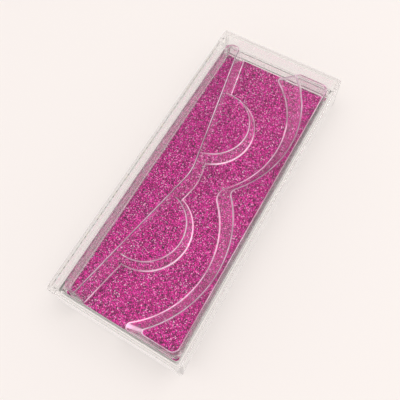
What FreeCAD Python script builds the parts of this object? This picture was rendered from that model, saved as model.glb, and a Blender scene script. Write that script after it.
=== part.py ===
import FreeCAD, Part

import math
import os

import Sketcher

# False eyelash case: a clear push-fit box that holds a formed tray on glitter card, with a sheet of
# stones in the recess under its base.
# Frame: X across the case, Y along it, Z up. The origin is the middle of the face that it rests on.

DRIVING_SIZES = [
    ("case_length", 112.0),
    ("case_width", 47.0),
    ("case_corner", 0.9),
    ("rim_width", 1.5),
    ("rim_depth", 2.0),
    ("floor_thickness", 1.5),
    ("upstand_thickness", 1.0),
    ("upstand_height", 4.9),
    ("lid_wall", 1.2),
    ("lid_top", 1.2),
    ("lid_height", 11.5),
    ("lid_clearance", 0.2),
    ("edge_break", 0.25),
    ("card_thickness", 0.5),
    ("card_clearance", 0.2),
    ("tray_clearance", 0.3),
    ("tray_sheet", 0.4),
    ("tray_headroom", 1.3),
    ("tray_corner", 2.6),
    ("tray_side_lean", 0.35),
    ("tray_end_lean", 0.5),
    ("bank_tip_radius", 1.3),
    ("bank_land", 1.55),
    ("bay_end_land", 3.0),
    ("bay_lean", 4.6),
    ("cusp_foot_radius", 4.5),
    ("cusp_top_radius", 2.5),
    ("waist_lean", 2.1),
    ("waist_radius", 18.0),
    ("island_drop", 3.5),
    ("island_radius", 15.1),
    ("island_lean", 2.1),
    ("island_setback", 9.7),
    ("island_shift", 3.25),
    ("film_thickness", 0.3),
    ("film_clearance", 0.3),
    ("stone_pitch", 2.4),
    ("stone_width", 2.2),
    ("stone_setback", 0.4),
]

# The tray's outline across the case, as shares of half of the tray's width.
bay_depth_share = 0.577
waist_share = 0.154
waist_end_share = 0.665
# The largest corner radii of the narrow bank, as shares of its width at its ends.
outer_corner_share = 0.6
inner_corner_share = 0.3

document = FreeCAD.newDocument("lash_case")
sizes = document.addObject("Spreadsheet::Sheet", "Sizes")
for row, (alias, size) in enumerate(DRIVING_SIZES, start=1):
    sizes.set("A%d" % row, alias)
    sizes.set("B%d" % row, str(size))
    sizes.setAlias("B%d" % row, alias)
document.recompute()


def size_of(text):
    """The present value of an expression in the sheet's names, in degrees if it is an angle."""
    found = sizes.evalExpression(text)
    return float(getattr(found, "Value", found))


# Heights of the faces that pieces rest on, as expressions in the sheet's names.
FLOOR_UNDERSIDE = "Sizes.rim_depth"
FLOOR_TOP = "Sizes.rim_depth + Sizes.floor_thickness"
CARD_TOP = FLOOR_TOP + " + Sizes.card_thickness"
FILM_FACE = "Sizes.rim_depth - Sizes.film_thickness"

HALF_WIDTH = "Sizes.case_width / 2"
HALF_LENGTH = "Sizes.case_length / 2"
UPSTAND_INSET = "Sizes.lid_wall + Sizes.lid_clearance"
BED_INSET = UPSTAND_INSET + " + Sizes.upstand_thickness"
TRAY_HALF_WIDTH = "(" + HALF_WIDTH + " - (" + BED_INSET + " + Sizes.tray_clearance))"
TRAY_HALF_LENGTH = "(" + HALF_LENGTH + " - (" + BED_INSET + " + Sizes.tray_clearance))"
BANK_HEIGHT = "(Sizes.lid_height - Sizes.lid_top - Sizes.card_thickness - Sizes.tray_headroom)"
ISLAND_HEIGHT = "(" + BANK_HEIGHT + " - Sizes.island_drop)"

# The right bank's front is two round bays that meet in a cusp. Each one's circle runs through the
# cusp and reaches its own depth behind it.
BAY_MIDDLE = "((" + TRAY_HALF_LENGTH + " - Sizes.bay_end_land) / 2)"
BAY_DEPTH = "(%s * %s)" % (bay_depth_share, TRAY_HALF_WIDTH)
BAY_RADIUS = "((%s ^ 2 + %s ^ 2) / (2 * %s))" % (BAY_MIDDLE, BAY_DEPTH, BAY_DEPTH)
BAY_REACH = "(" + TRAY_HALF_WIDTH + " - Sizes.tray_side_lean - Sizes.bank_land - Sizes.bay_lean)"

# The left bank's front runs back from its waist to each end of the tray in a straight line.
WAIST_X = "(%s * %s)" % (waist_share, TRAY_HALF_WIDTH)
WAIST_END_X = "(%s * %s)" % (waist_end_share, TRAY_HALF_WIDTH)
WAIST_ANGLE = "atan((%s - %s) / %s)" % (WAIST_END_X, WAIST_X, TRAY_HALF_LENGTH)
WAIST_REACH = "(%s * cos(%s))" % (WAIST_X, WAIST_ANGLE)

# Corner radii in plan, each limited by the narrow end of the left bank.
BANK_END = "(%s - %s - Sizes.tray_side_lean - Sizes.waist_lean)" % (TRAY_HALF_WIDTH, WAIST_END_X)
TRAY_CORNER = "min(Sizes.tray_corner; %s * %s)" % (outer_corner_share, BANK_END)
BANK_TIP = "min(Sizes.bank_tip_radius; %s * %s)" % (inner_corner_share, BANK_END)


def new_body(label):
    body = document.addObject("PartDesign::Body", label)
    body.Label = label
    return body


def new_sketch(body, name, height):
    """A sketch on the body's own level plane, at a height given by an expression."""
    sketch = body.newObject("Sketcher::SketchObject", name)
    level = [plane for plane in body.Origin.OriginFeatures if plane.Role == "XY_Plane"][0]
    sketch.AttachmentSupport = [(level, "")]
    sketch.MapMode = "FlatFace"
    sketch.setExpression("AttachmentOffset.Base.z", height)
    return sketch


def bind(sketch, kind, places, text):
    """Add a dimension and bind it to an expression."""
    start = size_of(text)
    if kind == "Angle":
        start = math.radians(start)
    index = sketch.addConstraint(Sketcher.Constraint(kind, *places, start))
    sketch.setExpression("Constraints[%d]" % index, text)


def line(start, end):
    return Part.LineSegment(FreeCAD.Vector(*start, 0), FreeCAD.Vector(*end, 0))


def arc(centre, radius, start, end):
    """The counter-clockwise arc about a centre, between the directions of two points."""
    first = math.atan2(start[1] - centre[1], start[0] - centre[0])
    last = math.atan2(end[1] - centre[1], end[0] - centre[0])
    if last <= first:
        last += 2 * math.pi
    circle = Part.Circle(FreeCAD.Vector(*centre, 0), FreeCAD.Vector(0, 0, 1), radius)
    return Part.ArcOfCircle(circle, first, last)


def join_tangent(sketch, ends):
    """Make each edge run smoothly into the next one round a closed outline.

    ends lists, for each edge, its index, the end that it is entered by and the end that it is left by.
    """
    for here, following in zip(ends, ends[1:] + ends[:1]):
        sketch.addConstraint(Sketcher.Constraint("Tangent", here[0], here[2], following[0], following[1]))


def rounded_rectangle(sketch, half_width, half_length, radius):
    """A centred rectangle with round corners, each size given by an expression."""
    across = size_of(half_width)
    along = size_of(half_length)
    corner = size_of(radius)
    edges = []
    signs = [(1, 1), (-1, 1), (-1, -1), (1, -1)]
    for turn, (side, end) in enumerate(signs):
        centre = (side * (across - corner), end * (along - corner))
        on_side = (side * across, centre[1])
        on_end = (centre[0], end * along)
        entry, leave = (on_side, on_end) if turn % 2 == 0 else (on_end, on_side)
        next_side, next_end = signs[(turn + 1) % 4]
        if turn % 2 == 0:
            far = (next_side * (across - corner), end * along)
        else:
            far = (side * across, next_end * (along - corner))
        edges.append(sketch.addGeometry(arc(centre, corner, entry, leave)))
        edges.append(sketch.addGeometry(line(leave, far)))
    join_tangent(sketch, [(edge, 1, 2) for edge in edges])
    for turn in range(4):
        direction = "Horizontal" if turn % 2 == 0 else "Vertical"
        sketch.addConstraint(Sketcher.Constraint(direction, edges[2 * turn + 1]))
        bind(sketch, "Radius", (edges[2 * turn],), radius)
    bind(sketch, "DistanceY", (-1, 1, edges[1], 1), half_length)
    bind(sketch, "DistanceX", (edges[3], 1, -1, 1), half_width)
    bind(sketch, "DistanceY", (edges[5], 1, -1, 1), half_length)
    bind(sketch, "DistanceX", (-1, 1, edges[7], 1), half_width)


def pad(body, name, sketch, length):
    feature = body.newObject("PartDesign::Pad", name)
    feature.Profile = sketch
    feature.setExpression("Length", length)
    return feature


def pocket_up(body, name, sketch, depth):
    """Cut upwards from a sketch on the underside of a piece."""
    feature = body.newObject("PartDesign::Pocket", name)
    feature.Profile = sketch
    feature.Reversed = True
    feature.setExpression("Length", depth)
    document.recompute()
    before = feature.BaseFeature.Shape.Volume
    if feature.Shape.Volume >= before:
        raise RuntimeError(name + " cuts nothing")
    return feature


def break_edges(body, name, feature, keep):
    """Take the sharpness off those edges of a feature whose bounds pass a test."""
    document.recompute()
    chosen = []
    for index, edge in enumerate(feature.Shape.Edges, start=1):
        if keep(edge.BoundBox):
            chosen.append("Edge%d" % index)
    broken = body.newObject("PartDesign::Chamfer", name)
    broken.Base = (feature, chosen)
    broken.setExpression("Size", "Sizes.edge_break")


def grown(text, inset):
    return "(" + text + ") - (" + inset + ")"


def make_base():
    """The plate, with a rim round its underside and an upstand for the lid on top."""
    body = new_body("base")
    outline = new_sketch(body, "base_outline", "0")
    rounded_rectangle(outline, HALF_WIDTH, HALF_LENGTH, "Sizes.case_corner")
    plate = pad(body, "plate", outline, FLOOR_TOP)
    break_edges(body, "foot_edge", plate, lambda box: box.ZMax < size_of("Sizes.edge_break"))

    recess = new_sketch(body, "recess_outline", "0")
    rounded_rectangle(
        recess,
        grown(HALF_WIDTH, "Sizes.rim_width"),
        grown(HALF_LENGTH, "Sizes.rim_width"),
        "Sizes.case_corner",
    )
    pocket_up(body, "recess", recess, FLOOR_UNDERSIDE)

    wall = new_sketch(body, "upstand_outline", FLOOR_TOP)
    for inset in (UPSTAND_INSET, BED_INSET):
        rounded_rectangle(wall, grown(HALF_WIDTH, inset), grown(HALF_LENGTH, inset), "Sizes.case_corner")
    pad(body, "upstand", wall, "Sizes.upstand_height")
    return body


def make_lid():
    """The deep cover that drops over the upstand and rests on the plate's edge."""
    body = new_body("lid")
    outline = new_sketch(body, "lid_outline", FLOOR_TOP)
    rounded_rectangle(outline, HALF_WIDTH, HALF_LENGTH, "Sizes.case_corner")
    block = pad(body, "block", outline, "Sizes.lid_height")
    top = size_of(FLOOR_TOP + " + Sizes.lid_height - Sizes.edge_break")
    break_edges(body, "top_edge", block, lambda box: box.ZMin > top)

    inside = new_sketch(body, "inside_outline", FLOOR_TOP)
    rounded_rectangle(
        inside,
        grown(HALF_WIDTH, "Sizes.lid_wall"),
        grown(HALF_LENGTH, "Sizes.lid_wall"),
        "Sizes.case_corner",
    )
    pocket_up(body, "inside", inside, "Sizes.lid_height - Sizes.lid_top")
    return body


def make_card():
    """The glitter card that lies on the plate, inside the upstand."""
    body = new_body("glitter_card")
    outline = new_sketch(body, "card_outline", FLOOR_TOP)
    inset = BED_INSET + " + Sizes.card_clearance"
    rounded_rectangle(outline, grown(HALF_WIDTH, inset), grown(HALF_LENGTH, inset), "Sizes.case_corner")
    pad(body, "card", outline, "Sizes.card_thickness")
    return body


def rise(size, lean, level, inset):
    """A size at the foot (level 0) or the top (level 1) of a leaning wall, less an inset."""
    return "(%s) + (%s) * %d + (%s)" % (size, lean, level, inset)


def lobed_bank_outline(sketch, level, inset):
    """The right bank in plan: straight outside, two round bays and a cusp between them inside."""
    side_text = rise(TRAY_HALF_WIDTH, "-Sizes.tray_side_lean", level, "-" + inset)
    end_text = rise(TRAY_HALF_LENGTH, "-Sizes.tray_end_lean", level, "-" + inset)
    corner_text = TRAY_CORNER + " - " + inset
    tip_text = BANK_TIP + " - " + inset
    bay_text = rise(BAY_RADIUS, "Sizes.bay_lean", level, inset)
    cusp_text = ("Sizes.cusp_foot_radius", "Sizes.cusp_top_radius")[level] + " - " + inset
    centre_text = BAY_RADIUS + " - " + BAY_REACH

    side = size_of(side_text)
    end = size_of(end_text)
    corner = size_of(corner_text)
    tip = size_of(tip_text)
    radius = size_of(bay_text)
    cusp = size_of(cusp_text)
    bay = (-size_of(centre_text), size_of(BAY_MIDDLE))

    tip_centre = (bay[0] + math.sqrt((radius + tip) ** 2 - (end - tip - bay[1]) ** 2), end - tip)
    cusp_centre = (bay[0] + math.sqrt((radius + cusp) ** 2 - bay[1] ** 2), 0)

    def on_bay(centre, rounding):
        share = radius / (radius + rounding)
        return (bay[0] + (centre[0] - bay[0]) * share, bay[1] + (centre[1] - bay[1]) * share)

    def mirrored(point):
        return (point[0], -point[1])

    bay_end = on_bay(tip_centre, tip)
    bay_cusp = on_bay(cusp_centre, cusp)
    corner_centre = (side - corner, end - corner)
    side_end = (side, end - corner)
    end_corner = (side - corner, end)
    end_tip = (tip_centre[0], end)

    outer = sketch.addGeometry(line(mirrored(side_end), side_end))
    far_corner = sketch.addGeometry(arc(corner_centre, corner, side_end, end_corner))
    far_end = sketch.addGeometry(line(end_corner, end_tip))
    far_tip = sketch.addGeometry(arc(tip_centre, tip, end_tip, bay_end))
    far_bay = sketch.addGeometry(arc(bay, radius, bay_cusp, bay_end))
    middle = sketch.addGeometry(arc(cusp_centre, cusp, bay_cusp, mirrored(bay_cusp)))
    near_bay = sketch.addGeometry(arc(mirrored(bay), radius, mirrored(bay_end), mirrored(bay_cusp)))
    near_tip = sketch.addGeometry(arc(mirrored(tip_centre), tip, mirrored(bay_end), mirrored(end_tip)))
    near_end = sketch.addGeometry(line(mirrored(end_tip), mirrored(end_corner)))
    near_corner = sketch.addGeometry(
        arc(mirrored(corner_centre), corner, mirrored(end_corner), mirrored(side_end))
    )
    join_tangent(sketch, [
        (outer, 1, 2),
        (far_corner, 1, 2),
        (far_end, 1, 2),
        (far_tip, 1, 2),
        (far_bay, 2, 1),
        (middle, 1, 2),
        (near_bay, 2, 1),
        (near_tip, 1, 2),
        (near_end, 1, 2),
        (near_corner, 1, 2),
    ])
    sketch.addConstraint(Sketcher.Constraint("Vertical", outer))
    sketch.addConstraint(Sketcher.Constraint("Horizontal", far_end))
    sketch.addConstraint(Sketcher.Constraint("Horizontal", near_end))
    bind(sketch, "DistanceX", (-1, 1, outer, 1), side_text)
    bind(sketch, "DistanceY", (-1, 1, far_end, 1), end_text)
    bind(sketch, "DistanceY", (near_end, 1, -1, 1), end_text)
    for rounded in (far_corner, near_corner):
        bind(sketch, "Radius", (rounded,), corner_text)
    for rounded in (far_tip, near_tip):
        bind(sketch, "Radius", (rounded,), tip_text)
    bind(sketch, "Radius", (middle,), cusp_text)
    for rounded in (far_bay, near_bay):
        bind(sketch, "Radius", (rounded,), bay_text)
        bind(sketch, "DistanceX", (rounded, 3, -1, 1), centre_text)
    bind(sketch, "DistanceY", (-1, 1, far_bay, 3), BAY_MIDDLE)
    bind(sketch, "DistanceY", (near_bay, 3, -1, 1), BAY_MIDDLE)


def waisted_bank_outline(sketch, level, inset):
    """The left bank in plan: straight outside, and a front wall that runs back from a round waist."""
    side_text = rise(TRAY_HALF_WIDTH, "-Sizes.tray_side_lean", level, "-" + inset)
    end_text = rise(TRAY_HALF_LENGTH, "-Sizes.tray_end_lean", level, "-" + inset)
    corner_text = TRAY_CORNER + " - " + inset
    tip_text = BANK_TIP + " - " + inset
    waist_text = "Sizes.waist_radius - " + inset
    reach_text = rise(WAIST_REACH, "Sizes.waist_lean", level, inset)

    side = size_of(side_text)
    end = size_of(end_text)
    corner = size_of(corner_text)
    tip = size_of(tip_text)
    waist = size_of(waist_text)
    reach = size_of(reach_text)
    angle = math.radians(size_of(WAIST_ANGLE))
    across = math.cos(angle)
    along = math.sin(angle)

    def mirrored(point):
        return (point[0], -point[1])

    tip_centre = (-(reach + tip + along * (end - tip)) / across, end - tip)
    waist_centre = (-(reach + waist) / across, 0)
    wall_end = (tip_centre[0] + tip * across, tip_centre[1] + tip * along)
    wall_waist = (waist_centre[0] + waist * across, waist * along)
    corner_centre = (corner - side, end - corner)
    side_end = (-side, end - corner)
    end_corner = (corner - side, end)
    end_tip = (tip_centre[0], end)

    outer = sketch.addGeometry(line(side_end, mirrored(side_end)))
    near_corner = sketch.addGeometry(
        arc(mirrored(corner_centre), corner, mirrored(side_end), mirrored(end_corner))
    )
    near_end = sketch.addGeometry(line(mirrored(end_corner), mirrored(end_tip)))
    near_tip = sketch.addGeometry(arc(mirrored(tip_centre), tip, mirrored(end_tip), mirrored(wall_end)))
    near_wall = sketch.addGeometry(line(mirrored(wall_end), mirrored(wall_waist)))
    middle = sketch.addGeometry(arc(waist_centre, waist, mirrored(wall_waist), wall_waist))
    far_wall = sketch.addGeometry(line(wall_waist, wall_end))
    far_tip = sketch.addGeometry(arc(tip_centre, tip, wall_end, end_tip))
    far_end = sketch.addGeometry(line(end_tip, end_corner))
    far_corner = sketch.addGeometry(arc(corner_centre, corner, end_corner, side_end))
    order = (
        outer, near_corner, near_end, near_tip, near_wall, middle, far_wall, far_tip, far_end, far_corner,
    )
    join_tangent(sketch, [(edge, 1, 2) for edge in order])
    sketch.addConstraint(Sketcher.Constraint("Vertical", outer))
    sketch.addConstraint(Sketcher.Constraint("Horizontal", far_end))
    sketch.addConstraint(Sketcher.Constraint("Horizontal", near_end))
    bind(sketch, "DistanceX", (outer, 1, -1, 1), side_text)
    bind(sketch, "DistanceY", (-1, 1, far_end, 1), end_text)
    bind(sketch, "DistanceY", (near_end, 1, -1, 1), end_text)
    for rounded in (far_corner, near_corner):
        bind(sketch, "Radius", (rounded,), corner_text)
    for rounded in (far_tip, near_tip):
        bind(sketch, "Radius", (rounded,), tip_text)
    bind(sketch, "Radius", (middle,), waist_text)
    for wall in (far_wall, near_wall):
        bind(sketch, "Distance", (-1, 1, wall), reach_text)
    bind(sketch, "Angle", (near_wall,), "90 deg - " + WAIST_ANGLE)
    bind(sketch, "Angle", (far_wall,), "90 deg + " + WAIST_ANGLE)


def island_outline(sketch, level, inset, end):
    """One step in plan: a round front on a chord that lies inside the left bank."""
    radius_text = rise("Sizes.island_radius", "-Sizes.island_lean", level, "-" + inset)
    chord_text = WAIST_REACH + " + Sizes.waist_lean"
    spread_text = BAY_MIDDLE + " - Sizes.island_shift"

    radius = size_of(radius_text)
    chord = size_of(chord_text)
    centre = (-size_of("Sizes.island_setback"), end * size_of(spread_text))
    angle = math.radians(size_of(WAIST_ANGLE))
    across = math.cos(angle)
    along = end * math.sin(angle)
    # The chord's distance from the centre, and half of its length inside the circle.
    off = -chord - (centre[0] * across + centre[1] * along)
    half = math.sqrt(radius ** 2 - off ** 2)
    foot = (centre[0] + off * across, centre[1] + off * along)
    lower = (foot[0] + half * along, foot[1] - half * across)
    upper = (foot[0] - half * along, foot[1] + half * across)

    front = sketch.addGeometry(arc(centre, radius, lower, upper))
    back = sketch.addGeometry(line(upper, lower))
    sketch.addConstraint(Sketcher.Constraint("Coincident", front, 2, back, 1))
    sketch.addConstraint(Sketcher.Constraint("Coincident", back, 2, front, 1))
    bind(sketch, "Radius", (front,), radius_text)
    bind(sketch, "DistanceX", (front, 3, -1, 1), "Sizes.island_setback")
    if end > 0:
        bind(sketch, "DistanceY", (-1, 1, front, 3), spread_text)
        bind(sketch, "Angle", (back,), WAIST_ANGLE + " - 90 deg")
    else:
        bind(sketch, "DistanceY", (front, 3, -1, 1), spread_text)
        bind(sketch, "Angle", (back,), "-90 deg - " + WAIST_ANGLE)
    bind(sketch, "Distance", (-1, 1, back), chord_text)


def loft(body, kind, name, outline, foot_height, top_height, inset):
    """A leaning form between its outline at the foot and its outline at the top."""
    foot = new_sketch(body, name + "_foot", foot_height)
    outline(foot, 0, inset)
    top = new_sketch(body, name + "_top", top_height)
    outline(top, 1, inset)
    feature = body.newObject(kind, name)
    feature.Profile = foot
    feature.Sections = [top]
    feature.Ruled = True
    document.recompute()
    return feature


def make_tray():
    """The formed tray: banks and islands drawn from one clear sheet, hollow from below."""
    body = new_body("lash_tray")
    outline = new_sketch(body, "well_floor_outline", CARD_TOP)
    rounded_rectangle(outline, TRAY_HALF_WIDTH, TRAY_HALF_LENGTH, TRAY_CORNER)
    pad(body, "well_floor", outline, "Sizes.tray_sheet")

    def far_island(sketch, level, inset):
        island_outline(sketch, level, inset, 1)

    def near_island(sketch, level, inset):
        island_outline(sketch, level, inset, -1)

    raised = [
        ("right_bank", lobed_bank_outline, BANK_HEIGHT),
        ("left_bank", waisted_bank_outline, BANK_HEIGHT),
        ("far_island", far_island, ISLAND_HEIGHT),
        ("near_island", near_island, ISLAND_HEIGHT),
    ]
    for name, shape, height in raised:
        top = CARD_TOP + " + " + height
        loft(body, "PartDesign::AdditiveLoft", name, shape, CARD_TOP, top, "0")
    for name, shape, height in raised:
        ceiling = CARD_TOP + " + " + height + " - Sizes.tray_sheet"
        loft(body, "PartDesign::SubtractiveLoft", name + "_hollow", shape, CARD_TOP, ceiling, "Sizes.tray_sheet")
    return body


def make_film():
    """The film that the stones are set on, under the plate."""
    body = new_body("stone_film")
    outline = new_sketch(body, "film_outline", FILM_FACE)
    inset = "Sizes.rim_width + Sizes.film_clearance"
    rounded_rectangle(outline, grown(HALF_WIDTH, inset), grown(HALF_LENGTH, inset), "Sizes.case_corner")
    pad(body, "film", outline, "Sizes.film_thickness")
    return body


def make_stones():
    """Square rows of stones, each cut to a low point that faces down."""
    stone = document.addObject("Part::Wedge", "stone")
    for name, text in (
        ("Xmin", "-Sizes.stone_width / 2"),
        ("Xmax", "Sizes.stone_width / 2"),
        ("Zmin", "-Sizes.stone_width / 2"),
        ("Zmax", "Sizes.stone_width / 2"),
        ("X2min", "0"),
        ("X2max", "0"),
        ("Z2min", "0"),
        ("Z2max", "0"),
        ("Ymin", "0"),
        ("Ymax", "Sizes.rim_depth - Sizes.film_thickness - Sizes.stone_setback"),
    ):
        stone.setExpression(name, text)
    # The wedge grows along its own Y, which is turned to point down.
    stone.Placement = FreeCAD.Placement(
        FreeCAD.Vector(0, 0, size_of(FILM_FACE)),
        FreeCAD.Rotation(FreeCAD.Vector(1, 0, 0), -90),
    )
    document.recompute()

    pitch = size_of("Sizes.stone_pitch")
    width = size_of("Sizes.stone_width")
    margin = "2 * (Sizes.rim_width + Sizes.film_clearance)"
    columns = int((size_of("Sizes.case_width - " + margin) - width) / pitch) + 1
    rows = int((size_of("Sizes.case_length - " + margin) - width) / pitch) + 1
    stones = []
    for column in range(columns):
        for row in range(rows):
            place = FreeCAD.Vector((column - (columns - 1) / 2) * pitch, (row - (rows - 1) / 2) * pitch, 0)
            stones.append(stone.Shape.translated(place))
    group = document.addObject("Part::Feature", "rhinestones")
    group.Shape = Part.makeCompound(stones)
    group.Label = "rhinestones"
    return group


pieces = [make_base(), make_lid(), make_card(), make_tray(), make_film(), make_stones()]
document.recompute()

for item in document.Objects:
    if "Invalid" in item.State or "Error" in item.State:
        raise RuntimeError(item.Name + " did not build: " + ", ".join(item.State))
for piece in pieces:
    if piece.Shape.isNull() or not piece.Shape.isValid():
        raise RuntimeError(piece.Label + " has no valid shape")

os.makedirs("parts", exist_ok=True)
for piece in pieces:
    piece.Shape.exportStep("parts/" + piece.Label + ".step")
    print(piece.Label, len(piece.Shape.Solids), "solids, volume", round(piece.Shape.Volume, 1))
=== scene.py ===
import math
import random
from functools import partial

import bmesh
import bpy
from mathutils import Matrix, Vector


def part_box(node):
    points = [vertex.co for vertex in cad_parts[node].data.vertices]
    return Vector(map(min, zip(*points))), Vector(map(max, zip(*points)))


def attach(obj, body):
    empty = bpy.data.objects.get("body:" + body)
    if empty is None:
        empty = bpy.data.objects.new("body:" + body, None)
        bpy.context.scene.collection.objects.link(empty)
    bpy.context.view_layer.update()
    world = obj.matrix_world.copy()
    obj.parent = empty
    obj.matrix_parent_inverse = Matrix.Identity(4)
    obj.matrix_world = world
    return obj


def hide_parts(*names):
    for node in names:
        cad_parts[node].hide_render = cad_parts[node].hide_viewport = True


# False eyelash case: a clear push-fit box over a formed tray on glitter card, with stones below.
# Lengths are in millimetres until a mesh is made. Light, camera and floor are placed in metres.

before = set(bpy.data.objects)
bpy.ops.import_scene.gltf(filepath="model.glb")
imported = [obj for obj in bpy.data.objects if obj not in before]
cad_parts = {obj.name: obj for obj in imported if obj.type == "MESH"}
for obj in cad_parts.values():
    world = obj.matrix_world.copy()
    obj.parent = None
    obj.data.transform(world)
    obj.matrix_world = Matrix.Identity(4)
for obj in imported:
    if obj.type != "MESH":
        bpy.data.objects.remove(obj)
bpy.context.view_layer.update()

MM = 0.001


def node_box(node):
    """The lowest and highest corner of one of the case's solids, in millimetres."""
    low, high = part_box(node)
    return Vector(low) / MM, Vector(high) / MM


base_low, base_high = node_box("base")
lid_low, lid_high = node_box("lid")
tray_low, tray_high = node_box("lash_tray")
film_low, film_high = node_box("stone_film")
stones_low, stones_high = node_box("rhinestones")

# Air between faces that rest on each other, so that light leaves one before it enters the next.
AIR_GAP = 0.04

# The two clear mouldings. An inset is measured in from the case's outside.
CASE_CORNER = 0.9
EDGE_ROUND = 0.3
INNER_ROUND = 0.25
RIM_WIDTH = 1.5
UPSTAND_THICKNESS = 1.0
LID_WALL = 1.2
LID_CLEARANCE = 0.2
PLATE_TOP = lid_low.z
UPSTAND_INSET = LID_WALL + LID_CLEARANCE
BED_INSET = UPSTAND_INSET + UPSTAND_THICKNESS
# Half the straight stretch at each end of the narrow face that closes a moulding in its middle.
CAP_STRAIGHT = 0.1
CAP_INSET = base_high.x - CASE_CORNER - CAP_STRAIGHT

# The formed tray. A lean is how far a wall moves in plan between its foot and its top.
TRAY_SHEET = 0.4
TRAY_FOOT = tray_low.z
TRAY_TOP = tray_high.z
TRAY_HALF_WIDTH = tray_high.x
TRAY_HALF_LENGTH = tray_high.y
TRAY_CORNER = 2.6
SIDE_LEAN = 0.35
END_LEAN = 0.5
BEND_FOOT = 0.6
BEND_TOP = 0.6
# The banks' round tips, and the flat that the right bank keeps beside a bay and at its ends.
BANK_TIP = 1.3
BANK_LAND = 1.55
BAY_END_LAND = 3.0
# The two bays of the right wall, with the radius of the cusp between them at its foot and its top.
BAY_DEPTH_SHARE = 0.577
BAY_LEAN = 4.6
CUSP_FOOT = 4.5
CUSP_TOP = 2.5
# The left wall: how far it stands from the middle at the waist and at the ends, in half widths.
WAIST_SHARE = 0.154
WAIST_END_SHARE = 0.665
WAIST_LEAN = 2.1
WAIST_RADIUS = 18.0
# The two D-shaped steps, with their centres set back to the left and moved in from the bays' middles.
ISLAND_DROP = 3.5
ISLAND_RADIUS = 15.1
ISLAND_LEAN = 2.1
ISLAND_SETBACK = 9.7
ISLAND_SHIFT = 3.25

WELL_FLOOR = TRAY_FOOT + TRAY_SHEET
BAY_MIDDLE = (TRAY_HALF_LENGTH - BAY_END_LAND) / 2
BAY_DEPTH = BAY_DEPTH_SHARE * TRAY_HALF_WIDTH
BAY_RADIUS = (BAY_MIDDLE ** 2 + BAY_DEPTH ** 2) / (2 * BAY_DEPTH)
BAY_REACH = TRAY_HALF_WIDTH - SIDE_LEAN - BANK_LAND - BAY_LEAN
WAIST_X = WAIST_SHARE * TRAY_HALF_WIDTH
WAIST_END_X = WAIST_END_SHARE * TRAY_HALF_WIDTH
WAIST_ANGLE = math.atan((WAIST_END_X - WAIST_X) / TRAY_HALF_LENGTH)
WAIST_REACH = WAIST_X * math.cos(WAIST_ANGLE)
ISLAND_TOP = TRAY_TOP - ISLAND_DROP

# How far the tray's raised forms run past its outside, and past its foot, before they are trimmed.
OVERRUN = 2.0
CUT_DEPTH = 1.0
# Small offsets that keep the faces of joined solids out of one plane.
FOOT_FLARE = 0.05
FOOT_DROP = 0.01
DEPTH_STEP = 0.1
TRIM_RISE = 0.02

# The stones.
STONE_PITCH = 2.4
STONE_RADIUS = 1.14
STONE_TABLE = 0.55
STONE_GIRDLE = 0.25
# The crown's radius between the girdle and the table, as a share of the mean of theirs.
CROWN_SHARE = 1.05
# The steepest slope of a stone's table each way, and the room that this takes under it.
STONE_LEAN = 0.06
LEAN_ROOM = 0.08
STONE_SEED = 11

# The number of straight runs in each stretch of an outline or a section.
CORNER_RUNS = 8
EDGE_RUNS = 4
BEND_RUNS = 6
TRAY_CORNER_RUNS = 12
TIP_RUNS = 8
BAY_RUNS = 56
CUSP_RUNS = 6
WAIST_RUNS = 6
WALL_RUNS = 20
ISLAND_RUNS = 72
STONE_SIDES = 8

# Edges that turn by more than this many degrees stay sharp.
SHARP_ANGLE = 38


# Meshes

def add_object(name, data):
    added = bpy.data.objects.new(name, data)
    bpy.context.scene.collection.objects.link(added)
    return added


def add_mesh(name, shape):
    """The mesh of a bmesh, which is freed."""
    mesh = bpy.data.meshes.new(name)
    shape.to_mesh(mesh)
    shape.free()
    return mesh


def arc(centre, radius, first, last, runs):
    """Points along an arc between two angles, both ends included."""
    points = []
    for step in range(runs + 1):
        angle = first + (last - first) * step / runs
        points.append((centre[0] + radius * math.cos(angle), centre[1] + radius * math.sin(angle)))
    return points


def rectangle(half_width, half_length, corner, runs=CORNER_RUNS):
    """A centred rectangle with round corners, counter-clockwise."""
    points = []
    for turn, (side, end) in enumerate(((1, 1), (-1, 1), (-1, -1), (1, -1))):
        centre = (side * (half_width - corner), end * (half_length - corner))
        points += arc(centre, corner, turn * math.pi / 2, (turn + 1) * math.pi / 2, runs)
    return points


def round_profile(corners):
    """A path of (inset, height) through corners of (inset, height, radius), each one rounded."""
    path = []
    for index, (inset, height, radius) in enumerate(corners):
        here = Vector((inset, height))
        if radius == 0:
            path.append(here)
            continue
        before = Vector(corners[index - 1][:2]) - here
        after = Vector(corners[index + 1][:2]) - here
        before.normalize()
        after.normalize()
        half = before.angle(after) / 2
        start = here + before * radius / math.tan(half)
        centre = here + (before + after).normalized() * radius / math.sin(half)
        first = start - centre
        turn = before.angle_signed(after)
        sweep = math.copysign(math.pi - 2 * half, turn)
        for step in range(EDGE_RUNS + 1):
            angle = sweep * step / EDGE_RUNS
            cosine = math.cos(angle)
            sine = math.sin(angle)
            across = first.x * cosine - first.y * sine
            up = first.x * sine + first.y * cosine
            path.append(centre + Vector((across, up)))
    return path


def loft_mesh(name, loops):
    """A closed mesh through matching loops of (points, height), capped at both ends."""
    shape = bmesh.new()
    rings = []
    for points, height in loops:
        rings.append([shape.verts.new((x * MM, y * MM, height * MM)) for x, y in points])
    count = len(rings[0])
    for lower, upper in zip(rings, rings[1:]):
        for index in range(count):
            following = (index + 1) % count
            shape.faces.new((lower[index], lower[following], upper[following], upper[index]))
    shape.faces.new(list(reversed(rings[0])))
    shape.faces.new(rings[-1])
    bmesh.ops.recalc_face_normals(shape, faces=shape.faces)
    return add_mesh(name, shape)


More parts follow.
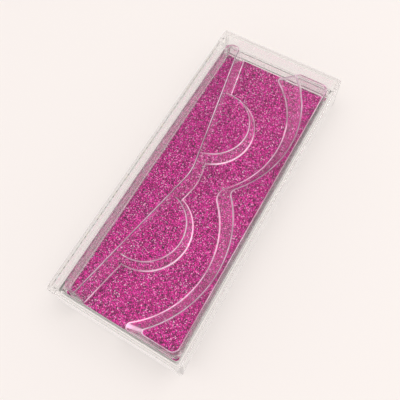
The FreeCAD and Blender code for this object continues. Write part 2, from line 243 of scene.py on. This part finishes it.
def smooth(piece):
    """Round shading over the small roundings, while the large flat faces beside them look flat."""
    for face in piece.data.polygons:
        face.use_smooth = True
    piece.data.set_sharp_from_angle(angle=math.radians(SHARP_ANGLE))
    weighting = piece.modifiers.new("flat faces", "WEIGHTED_NORMAL")
    weighting.keep_sharp = True
    weighting.weight = 100


def combine(name, mesh, steps):
    """A piece that starts as the mesh and takes (operation, mesh) steps one after another."""
    start = add_object(name + "_start", mesh)
    operands = []
    for index, (operation, other) in enumerate(steps):
        operand = add_object("%s_%d" % (name, index), other)
        operands.append(operand)
        cut = start.modifiers.new(operation, "BOOLEAN")
        cut.operation = operation
        cut.solver = "MANIFOLD"
        cut.object = operand
    bpy.context.view_layer.update()
    graph = bpy.context.evaluated_depsgraph_get()
    result = bpy.data.meshes.new_from_object(start.evaluated_get(graph), depsgraph=graph)
    result.name = name
    for used in [start] + operands:
        bpy.data.objects.remove(used)
    return add_object(name, result)


# The clear box

def box_moulding(name, corners):
    """A moulding of the case's plan, from corners of (inset, height, radius) of its section."""
    loops = []
    for inset, height in round_profile(corners):
        half_width = base_high.x - inset
        half_length = base_high.y - inset
        loops.append((rectangle(half_width, half_length, CASE_CORNER), height))
    piece = add_object(name, loft_mesh(name, loops))
    smooth(piece)
    return piece


def make_base():
    """The plate, with its rim below and its upstand on top."""
    underside = film_high.z + AIR_GAP
    return box_moulding("case_base", [
        (CAP_INSET, underside, 0),
        (RIM_WIDTH, underside, INNER_ROUND),
        (RIM_WIDTH, base_low.z, EDGE_ROUND),
        (0, base_low.z, EDGE_ROUND),
        (0, PLATE_TOP, INNER_ROUND),
        (UPSTAND_INSET, PLATE_TOP, INNER_ROUND),
        (UPSTAND_INSET, base_high.z, EDGE_ROUND),
        (BED_INSET, base_high.z, EDGE_ROUND),
        (BED_INSET, PLATE_TOP, INNER_ROUND),
        (CAP_INSET, PLATE_TOP, 0),
    ])


def make_lid():
    """The deep cover, open below."""
    foot = lid_low.z + AIR_GAP
    ceiling = lid_high.z - LID_WALL
    return box_moulding("case_lid", [
        (CAP_INSET, lid_high.z, 0),
        (0, lid_high.z, EDGE_ROUND),
        (0, foot, INNER_ROUND),
        (LID_WALL, foot, INNER_ROUND),
        (LID_WALL, ceiling, INNER_ROUND),
        (CAP_INSET, ceiling, 0),
    ])


# The formed tray. Each outline takes a level, from 0 at the foot to 1 at the top, and an inset.

def mirrored(points):
    """The points in the opposite order, on the other side of the case's middle."""
    return [(x, -y) for x, y in reversed(points)]


def bay_outline(level, inset):
    """The right bank in plan: two round bays with a cusp between them, on its inner side."""
    end = TRAY_HALF_LENGTH - END_LEAN * level - inset
    past = TRAY_HALF_LENGTH + OVERRUN
    outside = TRAY_HALF_WIDTH + OVERRUN
    tip = BANK_TIP - inset
    radius = BAY_RADIUS + BAY_LEAN * level + inset
    cusp = CUSP_FOOT + (CUSP_TOP - CUSP_FOOT) * level - inset
    bay = (BAY_REACH - BAY_RADIUS, BAY_MIDDLE)
    tip_centre = (bay[0] + math.sqrt((radius + tip) ** 2 - (end - tip - bay[1]) ** 2), end - tip)
    cusp_centre = (bay[0] + math.sqrt((radius + cusp) ** 2 - bay[1] ** 2), 0)
    to_tip = math.atan2(tip_centre[1] - bay[1], tip_centre[0] - bay[0])
    to_cusp = math.atan2(-bay[1], cusp_centre[0] - bay[0])
    half = [(tip_centre[0], past)]
    half += arc(tip_centre, tip, math.pi / 2, to_tip + math.pi, TIP_RUNS)
    half += arc(bay, radius, to_tip, to_cusp, BAY_RUNS)[1:]
    half += arc(cusp_centre, cusp, to_cusp + math.pi, math.pi, CUSP_RUNS)[1:]
    return [(outside, -past), (outside, past)] + half + mirrored(half[:-1])


def waist_outline(level, inset):
    """The left bank in plan: its inner side runs back from a round waist."""
    end = TRAY_HALF_LENGTH - END_LEAN * level - inset
    past = TRAY_HALF_LENGTH + OVERRUN
    outside = -TRAY_HALF_WIDTH - OVERRUN
    tip = BANK_TIP - inset
    waist = WAIST_RADIUS - inset
    reach = WAIST_REACH + WAIST_LEAN * level + inset
    across = math.cos(WAIST_ANGLE)
    along = math.sin(WAIST_ANGLE)
    tip_centre = (-(reach + tip + along * (end - tip)) / across, end - tip)
    waist_centre = (-(reach + waist) / across, 0)
    tip_arc = arc(tip_centre, tip, WAIST_ANGLE, math.pi / 2, TIP_RUNS)
    half = arc(waist_centre, waist, 0, WAIST_ANGLE, WAIST_RUNS)
    wall_start = Vector(half[-1])
    wall_end = Vector(tip_arc[0])
    half += [tuple(wall_start.lerp(wall_end, step / WALL_RUNS)) for step in range(1, WALL_RUNS)]
    half += tip_arc
    half.append((tip_centre[0], past))
    return [(outside, past), (outside, -past)] + mirrored(half[1:]) + half


def island_outline(end, level, inset):
    """The step of the far end (1) or the near end (-1): a round front, closed inside the left bank."""
    radius = ISLAND_RADIUS - ISLAND_LEAN * level - inset
    centre = (-ISLAND_SETBACK, end * (BAY_MIDDLE - ISLAND_SHIFT))
    chord = WAIST_REACH + WAIST_LEAN
    across = math.cos(WAIST_ANGLE)
    along = end * math.sin(WAIST_ANGLE)
    off = -chord - (centre[0] * across + centre[1] * along)
    facing = math.atan2(along, across)
    half = math.acos(off / radius)
    return arc(centre, radius, facing - half, facing + half, ISLAND_RUNS)


def outer_outline(level, inset):
    """The whole tray in plan."""
    half_width = TRAY_HALF_WIDTH - SIDE_LEAN * level - inset
    half_length = TRAY_HALF_LENGTH - END_LEAN * level - inset
    return rectangle(half_width, half_length, TRAY_CORNER - inset, TRAY_CORNER_RUNS)


RAISED_FORMS = (
    ("right_bank", bay_outline, TRAY_TOP),
    ("left_bank", waist_outline, TRAY_TOP),
    ("far_island", partial(island_outline, 1), ISLAND_TOP),
    ("near_island", partial(island_outline, -1), ISLAND_TOP),
)


def level_of(height, top):
    """How far up a wall a height is, from 0 at the tray's foot to 1 at the wall's top."""
    return min(max((height - TRAY_FOOT) / (top - TRAY_FOOT), 0), 1)


def foot_bend(height, radius):
    """A quarter bend of (height, inset), from a flat at the height into the wall above it."""
    points = []
    for step in range(BEND_RUNS + 1):
        angle = math.pi / 2 * step / BEND_RUNS
        points.append((height + radius * (1 - math.cos(angle)), -radius * (1 - math.sin(angle))))
    return points


def top_bend(height, radius):
    """A quarter bend of (height, inset), from the wall below into a flat at the height."""
    points = []
    for step in range(BEND_RUNS + 1):
        angle = math.pi / 2 * step / BEND_RUNS
        points.append((height - radius * (1 - math.sin(angle)), radius * (1 - math.cos(angle))))
    return points


def raised(name, outline, top, depth, sheet):
    """One raised form from depth up to its top, or its hollow when a sheet thickness is given."""
    below = WELL_FLOOR - sheet
    above = top - sheet
    outer_bend = BEND_FOOT + sheet
    inner_bend = BEND_TOP - sheet
    wide = -outer_bend - FOOT_FLARE
    sections = [(depth, wide), (below - FOOT_DROP, wide)]
    sections += foot_bend(below, outer_bend)[1:]
    sections.append(((below + outer_bend + above - inner_bend) / 2, 0))
    sections += top_bend(above, inner_bend)
    return loft_mesh(name, [
        (outline(level_of(height, top), inset + sheet), height) for height, inset in sections
    ])


def tray_solid(name, sheet, depth):
    """The whole outer form of the tray, or its hollow when a sheet thickness is given."""
    if sheet == 0:
        slab = rectangle(TRAY_HALF_WIDTH + OVERRUN, TRAY_HALF_LENGTH + OVERRUN, TRAY_CORNER)
        solids = [loft_mesh("well", [(slab, depth), (slab, WELL_FLOOR)])]
        bottom = TRAY_FOOT + AIR_GAP
    else:
        solids = []
        bottom = depth - CUT_DEPTH
    for index, (form, outline, top) in enumerate(RAISED_FORMS):
        solids.append(raised(form, outline, top, depth - DEPTH_STEP * (index + 1), sheet))
    walls = [(bottom, 0)] + top_bend(TRAY_TOP - sheet + TRIM_RISE, BEND_TOP - sheet)
    outside = loft_mesh("outside", [
        (outer_outline(level_of(height, TRAY_TOP), inset + sheet), height) for height, inset in walls
    ])
    steps = [("UNION", solid) for solid in solids[1:]] + [("INTERSECT", outside)]
    return combine(name, solids[0], steps)


def make_tray():
    """The tray as one sheet of even thickness."""
    hollow = tray_solid("tray_hollow", TRAY_SHEET, TRAY_FOOT - 2 * CUT_DEPTH)
    form = tray_solid("tray_form", 0, TRAY_FOOT - CUT_DEPTH)
    tray = combine("formed_tray", form.data, [("DIFFERENCE", hollow.data)])
    bpy.data.objects.remove(hollow)
    bpy.data.objects.remove(form)
    smooth(tray)
    return tray


# The stones

def add_stone(shape, x, y, turn, lean):
    """One round cut stone with its back on the film. Gives its faces."""
    back_height = film_low.z
    table_height = stones_low.z

    def ring(radius, height, offset):
        """The stone's corners on one level, turned on by a share of a side."""
        corners = []
        for side in range(STONE_SIDES):
            angle = turn + (side + offset) * 2 * math.pi / STONE_SIDES
            across = radius * math.cos(angle)
            along = radius * math.sin(angle)
            drop = lean[0] * across + lean[1] * along if height < back_height else 0
            corners.append(shape.verts.new(((x + across) * MM, (y + along) * MM, (height + drop) * MM)))
        return corners

    crown_radius = (STONE_RADIUS + STONE_TABLE) / 2 * CROWN_SHARE
    crown_height = (back_height - STONE_GIRDLE + table_height) / 2
    back = ring(STONE_RADIUS, back_height, 0)
    girdle = ring(STONE_RADIUS, back_height - STONE_GIRDLE, 0)
    crown = ring(crown_radius, crown_height, 0.5)
    table = ring(STONE_TABLE, table_height + LEAN_ROOM, 0)
    faces = []
    for side in range(STONE_SIDES):
        after = (side + 1) % STONE_SIDES
        for corners in (
            (back[side], back[after], girdle[after], girdle[side]),
            (girdle[side], girdle[after], crown[side]),
            (crown[side], girdle[after], crown[after]),
            (crown[side], table[after], table[side]),
            (crown[side], crown[after], table[after]),
        ):
            faces.append(shape.faces.new(corners))
    faces.append(shape.faces.new(table))
    faces.append(shape.faces.new(list(reversed(back))))
    return faces


def make_stones():
    """Square rows of round cut stones under the film, each with a tint of its own."""
    picker = random.Random(STONE_SEED)
    columns = int((stones_high.x - stones_low.x) / STONE_PITCH) + 1
    rows = int((stones_high.y - stones_low.y) / STONE_PITCH) + 1
    shape = bmesh.new()
    tint = shape.loops.layers.float_color.new("tint")
    for column in range(columns):
        for row in range(rows):
            x = (column - (columns - 1) / 2) * STONE_PITCH
            y = (row - (rows - 1) / 2) * STONE_PITCH
            turn = picker.uniform(0, math.pi / 4)
            lean = [picker.uniform(-STONE_LEAN, STONE_LEAN) for axis in range(2)]
            colour = (picker.random(), picker.random(), picker.random(), 1)
            for face in add_stone(shape, x, y, turn, lean):
                for corner in face.loops:
                    corner[tint] = colour
    bmesh.ops.recalc_face_normals(shape, faces=shape.faces)
    return add_object("cut_stones", add_mesh("cut_stones", shape))


# Materials

# How far worn plastic's roughness goes above and below its mean, as a share of it.
WEAR_SHARE = 0.5


def new_material(name):
    material = bpy.data.materials.new(name)
    material.use_nodes = True
    nodes = material.node_tree.nodes
    return material, nodes, material.node_tree.links, nodes["Principled BSDF"]


def add_node(nodes, kind, values=None, operation=None):
    """A shader node with the values of its sockets, given by name or number."""
    node = nodes.new("ShaderNode" + kind)
    if operation:
        node.operation = operation
    set_values(node, values or {})
    return node


def set_values(node, values):
    for socket, value in values.items():
        node.inputs[socket].default_value = value


def colour_ramp(nodes, stops):
    """A ramp through stops of (position, colour)."""
    ramp = add_node(nodes, "ValToRGB")
    points = ramp.color_ramp.elements
    while len(points) < len(stops):
        points.new(0.5)
    for point, (position, colour) in zip(points, stops):
        point.position = position
        point.color = (*colour, 1)
    return ramp


def grey_ramp(nodes, stops):
    """A ramp through stops of (position, share), as a grey."""
    return colour_ramp(nodes, [(position, (share, share, share)) for position, share in stops])


def noise(nodes, links, values):
    """Noise that is fixed to the piece."""
    place = add_node(nodes, "TexCoord")
    pattern = add_node(nodes, "TexNoise", values)
    links.new(place.outputs["Object"], pattern.inputs["Vector"])
    return pattern


def bump(nodes, links, pattern, shader, strength, distance):
    """Raise the shader's surface by a pattern, by up to a distance in metres."""
    relief = add_node(nodes, "Bump", {"Strength": strength, "Distance": distance})
    links.new(pattern.outputs["Fac"], relief.inputs["Height"])
    links.new(relief.outputs["Normal"], shader.inputs["Normal"])


def clear_material(name, colour, roughness, ripple, shadow_stops, painted_highlight=None):
    """Clear plastic with a slow ripple in its surface, which lamp light passes straight through.

    shadow_stops give how much lamp light each face lets through, met squarely (0) up to edge on (1).
    A painted highlight, where there is one, is a colour and the stops of its share, from upright (0) to
    level (1) faces.
    """
    material, nodes, links, shader = new_material(name)
    set_values(shader, {"Base Color": colour, "Transmission Weight": 1.0, "IOR": 1.49})
    wear = noise(nodes, links, {"Scale": 180, "Detail": 4})
    finest = roughness * (1 - WEAR_SHARE)
    coarsest = roughness * (1 + WEAR_SHARE)
    gloss = add_node(nodes, "MapRange", {"To Min": finest, "To Max": coarsest})
    links.new(wear.outputs["Fac"], gloss.inputs["Value"])
    links.new(gloss.outputs["Result"], shader.inputs["Roughness"])
    waves = noise(nodes, links, {"Scale": 30})
    bump(nodes, links, waves, shader, strength=ripple, distance=0.0005)
    surface = shader.outputs["BSDF"]
    # Pale painted highlights mixed over the clear surface, where they are given.
    if painted_highlight:
        surface = add_painted_highlight(nodes, links, surface, *painted_highlight)
    ray = add_node(nodes, "LightPath")
    slant = add_node(nodes, "LayerWeight", {"Blend": 0.5})
    lets = grey_ramp(nodes, shadow_stops)
    through = add_node(nodes, "BsdfTransparent")
    mix = add_node(nodes, "MixShader")
    links.new(slant.outputs["Facing"], lets.inputs["Fac"])
    links.new(lets.outputs["Color"], through.inputs["Color"])
    links.new(ray.outputs["Is Shadow Ray"], mix.inputs["Fac"])
    links.new(surface, mix.inputs[1])
    links.new(through.outputs["BSDF"], mix.inputs[2])
    links.new(mix.outputs["Shader"], nodes["Material Output"].inputs["Surface"])
    return material


def add_painted_highlight(nodes, links, surface, colour, stops):
    """The surface under painted highlights: a pale white, lit from either side, that comes and goes along
    the piece.
    """
    facing = add_node(nodes, "NewGeometry")
    parts = add_node(nodes, "SeparateXYZ")
    levelness = add_node(nodes, "Math", operation="ABSOLUTE")
    share = grey_ramp(nodes, stops)
    drift = noise(nodes, links, {"Scale": 70})
    strength = add_node(nodes, "MapRange", {"From Min": 0.4, "From Max": 0.6, "To Min": 0.3})
    uneven = add_node(nodes, "Math", operation="MULTIPLY")
    front = add_node(nodes, "BsdfDiffuse", {"Color": colour})
    back = add_node(nodes, "BsdfTranslucent", {"Color": colour})
    both = add_node(nodes, "AddShader")
    mix = add_node(nodes, "MixShader")
    links.new(facing.outputs["Normal"], parts.inputs["Vector"])
    links.new(parts.outputs["Z"], levelness.inputs[0])
    links.new(levelness.outputs["Value"], share.inputs["Fac"])
    links.new(drift.outputs["Fac"], strength.inputs["Value"])
    links.new(share.outputs["Color"], uneven.inputs[0])
    links.new(strength.outputs["Result"], uneven.inputs[1])
    links.new(front.outputs["BSDF"], both.inputs[0])
    links.new(back.outputs["BSDF"], both.inputs[1])
    links.new(uneven.outputs["Value"], mix.inputs["Fac"])
    links.new(surface, mix.inputs[1])
    links.new(both.outputs["Shader"], mix.inputs[2])
    return mix.outputs["Shader"]


def moulding_material():
    """The clear hard plastic of the base and the lid."""
    return clear_material(
        "clear_moulding",
        colour=(0.996, 0.994, 0.99, 1),
        roughness=0.008,
        ripple=0.01,
        shadow_stops=[(0.0, 0.97), (1.0, 0.92)],
    )


def sheet_material():
    """The tray's thin formed sheet, with pink painted highlight lines along its bends and a faint trace
    of them on its slopes.
    """
    # Share of the painted highlight by how level a face is: strong on the bends, faint on the slopes.
    painted_highlight_stops = [(0.16, 0.0), (0.24, 0.03), (0.56, 0.03), (0.67, 0.9), (0.81, 0.9), (0.89, 0.0)]
    return clear_material(
        "clear_sheet",
        colour=(0.99, 0.985, 0.99, 1),
        roughness=0.03,
        ripple=0.05,
        shadow_stops=[(0.0, 0.98), (0.45, 0.90), (0.70, 0.45), (0.90, 0.12)],
        painted_highlight=((1.0, 0.78, 0.92, 1), painted_highlight_stops),
    )


def glitter_material():
    """Card with a coat of fine metallic flakes, each one tilted on its own and given a colour at random,
    from painted shade through magenta to painted glints.
    """
    material, nodes, links, shader = new_material("glitter_card")
    set_values(shader, {"Metallic": 0.4, "Roughness": 0.45})
    place = add_node(nodes, "TexCoord")
    flakes = add_node(nodes, "TexVoronoi", {"Scale": 4200})
    parts = add_node(nodes, "SeparateColor")
    # Flake colours at random: near-black flakes are painted shade, white ones are painted glints, and the
    # magenta between is the flakes' own colour.
    shades = colour_ramp(nodes, [
        (0.0, (0.03, 0.001, 0.03)),
        (0.36, (0.17, 0.001, 0.08)),
        (0.60, (0.74, 0.003, 0.28)),
        (0.82, (1.0, 0.02, 0.46)),
        (0.93, (1.0, 0.10, 0.62)),
        (1.0, (1.0, 0.95, 1.0)),
    ])
    tilt = add_node(nodes, "VectorMath", {1: (0.5, 0.5, 0.5)}, operation="SUBTRACT")
    slight = add_node(nodes, "VectorMath", {"Scale": 0.25}, operation="SCALE")
    facing = add_node(nodes, "NewGeometry")
    tilted = add_node(nodes, "VectorMath", operation="ADD")
    unit = add_node(nodes, "VectorMath", operation="NORMALIZE")
    links.new(place.outputs["Object"], flakes.inputs["Vector"])
    links.new(flakes.outputs["Color"], parts.inputs["Color"])
    links.new(parts.outputs["Red"], shades.inputs["Fac"])
    links.new(shades.outputs["Color"], shader.inputs["Base Color"])
    links.new(flakes.outputs["Color"], tilt.inputs[0])
    links.new(tilt.outputs["Vector"], slight.inputs[0])
    links.new(facing.outputs["Normal"], tilted.inputs[0])
    links.new(slight.outputs["Vector"], tilted.inputs[1])
    links.new(tilted.outputs["Vector"], unit.inputs[0])
    links.new(unit.outputs["Vector"], shader.inputs["Normal"])
    return material


def film_material():
    """Pale, slightly rough film."""
    material, nodes, links, shader = new_material("stone_film")
    set_values(shader, {"Roughness": 0.45})
    grain = noise(nodes, links, {"Scale": 900, "Detail": 6})
    shades = colour_ramp(nodes, [(0.3, (0.80, 0.78, 0.75)), (0.7, (0.90, 0.89, 0.87))])
    links.new(grain.outputs["Fac"], shades.inputs["Fac"])
    links.new(shades.outputs["Color"], shader.inputs["Base Color"])
    bump(nodes, links, grain, shader, strength=0.2, distance=0.0001)
    return material


def stone_material():
    """Pale cut resin with a mirror backing: each stone has a tint of its own."""
    material, nodes, links, shader = new_material("cut_stones")
    set_values(shader, {"Metallic": 0.8, "Roughness": 0.12, "Coat Weight": 0.6, "Coat Roughness": 0.04})
    tint = add_node(nodes, "Attribute")
    tint.attribute_name = "tint"
    parts = add_node(nodes, "SeparateColor")
    shades = colour_ramp(nodes, [
        (0.0, (0.88, 0.84, 0.75)),
        (0.30, (0.93, 0.89, 0.66)),
        (0.45, (0.90, 0.77, 0.76)),
        (0.58, (0.80, 0.76, 0.90)),
        (0.70, (0.72, 0.88, 0.82)),
        (0.82, (0.70, 0.82, 0.93)),
        (0.92, (0.93, 0.80, 0.62)),
        (1.0, (0.95, 0.92, 0.86)),
    ])
    links.new(tint.outputs["Color"], parts.inputs["Color"])
    links.new(parts.outputs["Red"], shades.inputs["Fac"])
    links.new(shades.outputs["Color"], shader.inputs["Base Color"])
    return material


def floor_material():
    """Pale paper with a glow that keeps it nearly white, also through plastic. Unseen from below."""
    material, nodes, links, shader = new_material("floor")
    nodes.remove(shader)
    paper = add_node(nodes, "BsdfDiffuse", {"Color": (0.86, 0.81, 0.79, 1)})
    glow = add_node(nodes, "Emission", {"Color": (1.0, 0.93, 0.90, 1), "Strength": 1.0})
    ray = add_node(nodes, "LightPath")
    glow_shares = (("Is Camera Ray", 0.45), ("Is Glossy Ray", 0.85), ("Is Transmission Ray", 0.85))
    largest = None
    for sight, share in glow_shares:
        weight = add_node(nodes, "Math", {1: share}, operation="MULTIPLY")
        links.new(ray.outputs[sight], weight.inputs[0])
        if largest:
            larger = add_node(nodes, "Math", operation="MAXIMUM")
            links.new(largest.outputs["Value"], larger.inputs[0])
            links.new(weight.outputs["Value"], larger.inputs[1])
            weight = larger
        largest = weight
    lit = add_node(nodes, "MixShader")
    side = add_node(nodes, "NewGeometry")
    under = add_node(nodes, "Math", operation="MULTIPLY")
    away = add_node(nodes, "BsdfTransparent")
    one_sided = add_node(nodes, "MixShader")
    links.new(largest.outputs["Value"], lit.inputs["Fac"])
    links.new(paper.outputs["BSDF"], lit.inputs[1])
    links.new(glow.outputs["Emission"], lit.inputs[2])
    links.new(side.outputs["Backfacing"], under.inputs[0])
    links.new(ray.outputs["Is Camera Ray"], under.inputs[1])
    links.new(under.outputs["Value"], one_sided.inputs["Fac"])
    links.new(lit.outputs["Shader"], one_sided.inputs[1])
    links.new(away.outputs["BSDF"], one_sided.inputs[2])
    links.new(one_sided.outputs["Shader"], nodes["Material Output"].inputs["Surface"])
    return material


def dress(piece, material, body, slot, *nodes):
    """Give a piece its material and its body, and hide the solids that it stands for. The slot is not
    used.
    """
    piece.data.materials.clear()
    piece.data.materials.append(material)
    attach(piece, body)
    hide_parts(*nodes)


def set_node_material(node, material):
    """Give a solid that stays in view as it is a better material."""
    for slot in bpy.data.objects[node].material_slots:
        slot.link = "OBJECT"
        slot.material = material


# Stage

def make_stage():
    """A wide pale floor, just under the case."""
    reach = 3.0
    height = -AIR_GAP * MM
    corners = ((-reach, -reach), (reach, -reach), (reach, reach), (-reach, reach))
    shape = bmesh.new()
    shape.faces.new([shape.verts.new((x, y, height)) for x, y in corners])
    floor = add_object("floor", add_mesh("floor", shape))
    floor.data.materials.append(floor_material())


def make_world():
    """A room with a dim ceiling, which the camera and clear plastic see as a pale backdrop."""
    world = bpy.data.worlds.new("room")
    world.use_nodes = True
    bpy.context.scene.world = world
    nodes = world.node_tree.nodes
    links = world.node_tree.links
    room = nodes["Background"]
    backdrop = add_node(nodes, "Background", {"Color": (0.965, 0.896, 0.863, 1)})
    place = add_node(nodes, "TexCoord")
    parts = add_node(nodes, "SeparateXYZ")
    shades = colour_ramp(nodes, [
        (0.0, (0.78, 0.77, 0.76)),
        (0.35, (0.66, 0.65, 0.64)),
        (0.62, (0.16, 0.16, 0.16)),
        (1.0, (0.12, 0.12, 0.12)),
    ])
    ray = add_node(nodes, "LightPath")
    # Clear plastic sees the dim ceiling round this direction, high over the far left. A pale backdrop
    # there would lay a veil over the card.
    toward = add_node(nodes, "VectorMath", {1: (-0.22, 0.30, 0.93)}, operation="DOT_PRODUCT")
    fade = {"From Min": 0.85, "From Max": 0.93, "To Min": 1.0, "To Max": 0.0}
    beside = add_node(nodes, "MapRange", fade)
    through = add_node(nodes, "Math", operation="MULTIPLY")
    seen = add_node(nodes, "Math", operation="MAXIMUM")
    mix = add_node(nodes, "MixShader")
    links.new(place.outputs["Generated"], parts.inputs["Vector"])
    links.new(parts.outputs["Z"], shades.inputs["Fac"])
    links.new(shades.outputs["Color"], room.inputs["Color"])
    links.new(place.outputs["Generated"], toward.inputs[0])
    links.new(toward.outputs["Value"], beside.inputs["Value"])
    links.new(ray.outputs["Is Transmission Ray"], through.inputs[0])
    links.new(beside.outputs["Result"], through.inputs[1])
    links.new(ray.outputs["Is Camera Ray"], seen.inputs[0])
    links.new(through.outputs["Value"], seen.inputs[1])
    links.new(seen.outputs["Value"], mix.inputs["Fac"])
    links.new(room.outputs["Background"], mix.inputs[1])
    links.new(backdrop.outputs["Background"], mix.inputs[2])
    links.new(mix.outputs["Shader"], nodes["World Output"].inputs["Surface"])


def make_lamps():
    """Three soft lamps high over the case, turned to it."""
    # Each one's name, place, width and length, power in watts and colour.
    lamps = (
        ("overhead", (0.25, 0.50, 0.83), (0.35, 0.35), 4.1, (1.0, 0.98, 0.96)),
        ("left", (-0.46, -0.27, 0.85), (0.4, 0.4), 3.4, (1.0, 0.98, 0.96)),
        ("side", (0.52, -0.22, 0.83), (0.9, 0.15), 3.1, (1.0, 0.98, 0.95)),
    )
    for name, place, (width, length), power, colour in lamps:
        lamp = bpy.data.lights.new(name, "AREA")
        lamp.shape = "RECTANGLE"
        lamp.size = width
        lamp.size_y = length
        lamp.energy = power
        lamp.color = colour
        holder = add_object(name, lamp)
        holder.location = place
        holder.rotation_euler = (-Vector(place)).to_track_quat("-Z", "Y").to_euler()
        # A small bright lamp seen through the plastic would speckle its edges.
        holder.visible_transmission = False


def make_camera():
    """The photograph's view of the case."""
    camera = bpy.data.cameras.new("camera")
    camera.lens = 50.41
    camera.sensor_width = 36
    camera.shift_x = 0.0100
    camera.shift_y = -0.1098
    camera.clip_start = 0.01
    holder = add_object("camera", camera)
    holder.location = (0.04088, -0.06493, 0.18171)
    holder.rotation_euler = [math.radians(turn) for turn in (26.70, 1.94, 30.36)]
    bpy.context.scene.camera = holder


def set_bounces():
    """Let light through the many clear walls on its way to the card.

    Lamps already shine straight through clear plastic, so its bent light isn't added again.
    """
    cycles = bpy.context.scene.cycles
    cycles.max_bounces = 32
    cycles.glossy_bounces = 24
    cycles.transmission_bounces = 24
    cycles.transparent_max_bounces = 48
    cycles.caustics_reflective = False
    cycles.caustics_refractive = False


clear_moulding = moulding_material()
clear_sheet = sheet_material()
dress(make_base(), clear_moulding, "base", "clear_moulding", "base")
dress(make_lid(), clear_moulding, "lid", "clear_moulding", "lid")
dress(make_tray(), clear_sheet, "tray", "clear_sheet", "lash_tray")
dress(make_stones(), stone_material(), "base", "stones", "rhinestones")
set_node_material("glitter_card", glitter_material())
set_node_material("stone_film", film_material())
make_stage()
make_world()
make_lamps()
make_camera()
set_bounces()
bpy.context.scene.view_settings.view_transform = "Standard"

bpy.context.view_layer.update()
